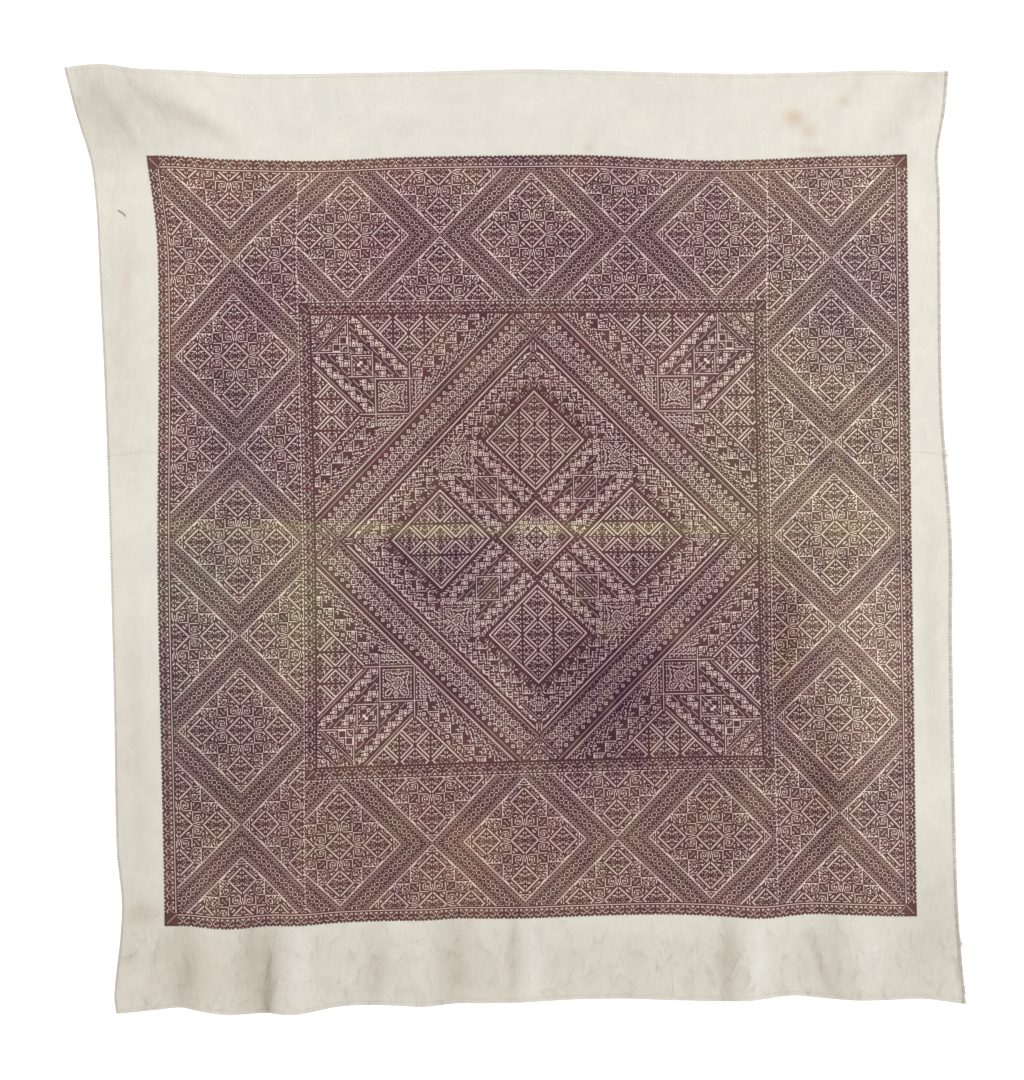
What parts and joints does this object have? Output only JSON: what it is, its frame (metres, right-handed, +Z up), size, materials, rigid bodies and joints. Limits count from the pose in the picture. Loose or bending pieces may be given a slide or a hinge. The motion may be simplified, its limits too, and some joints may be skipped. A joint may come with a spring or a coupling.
{
  "type": "hanging embroidered silk panel",
  "caption": "Square cotton panel worked all over in counted-thread silk embroidery, joined from loom widths, hanging by its top edge in soft folds.",
  "frame": {"origin": "the middle of the panel's top edge, where it is held", "axes": "+Z up the hanging panel, +X to the right as seen from the front, +Y out of its back; the worked face looks along -Y"},
  "size_m": [1.408, 0.0499, 1.4898],
  "materials": {
    "upper_cloth": "off-white plain-weave cotton, worked in brown-mauve silk",
    "lower_cloth": "off-white plain-weave cotton, worked in brown-mauve silk"
  },
  "bodies": {
    "root": {"upper_cloth": "upper_cloth", "lower_cloth": "lower_cloth"}
  },
  "joints": []
}
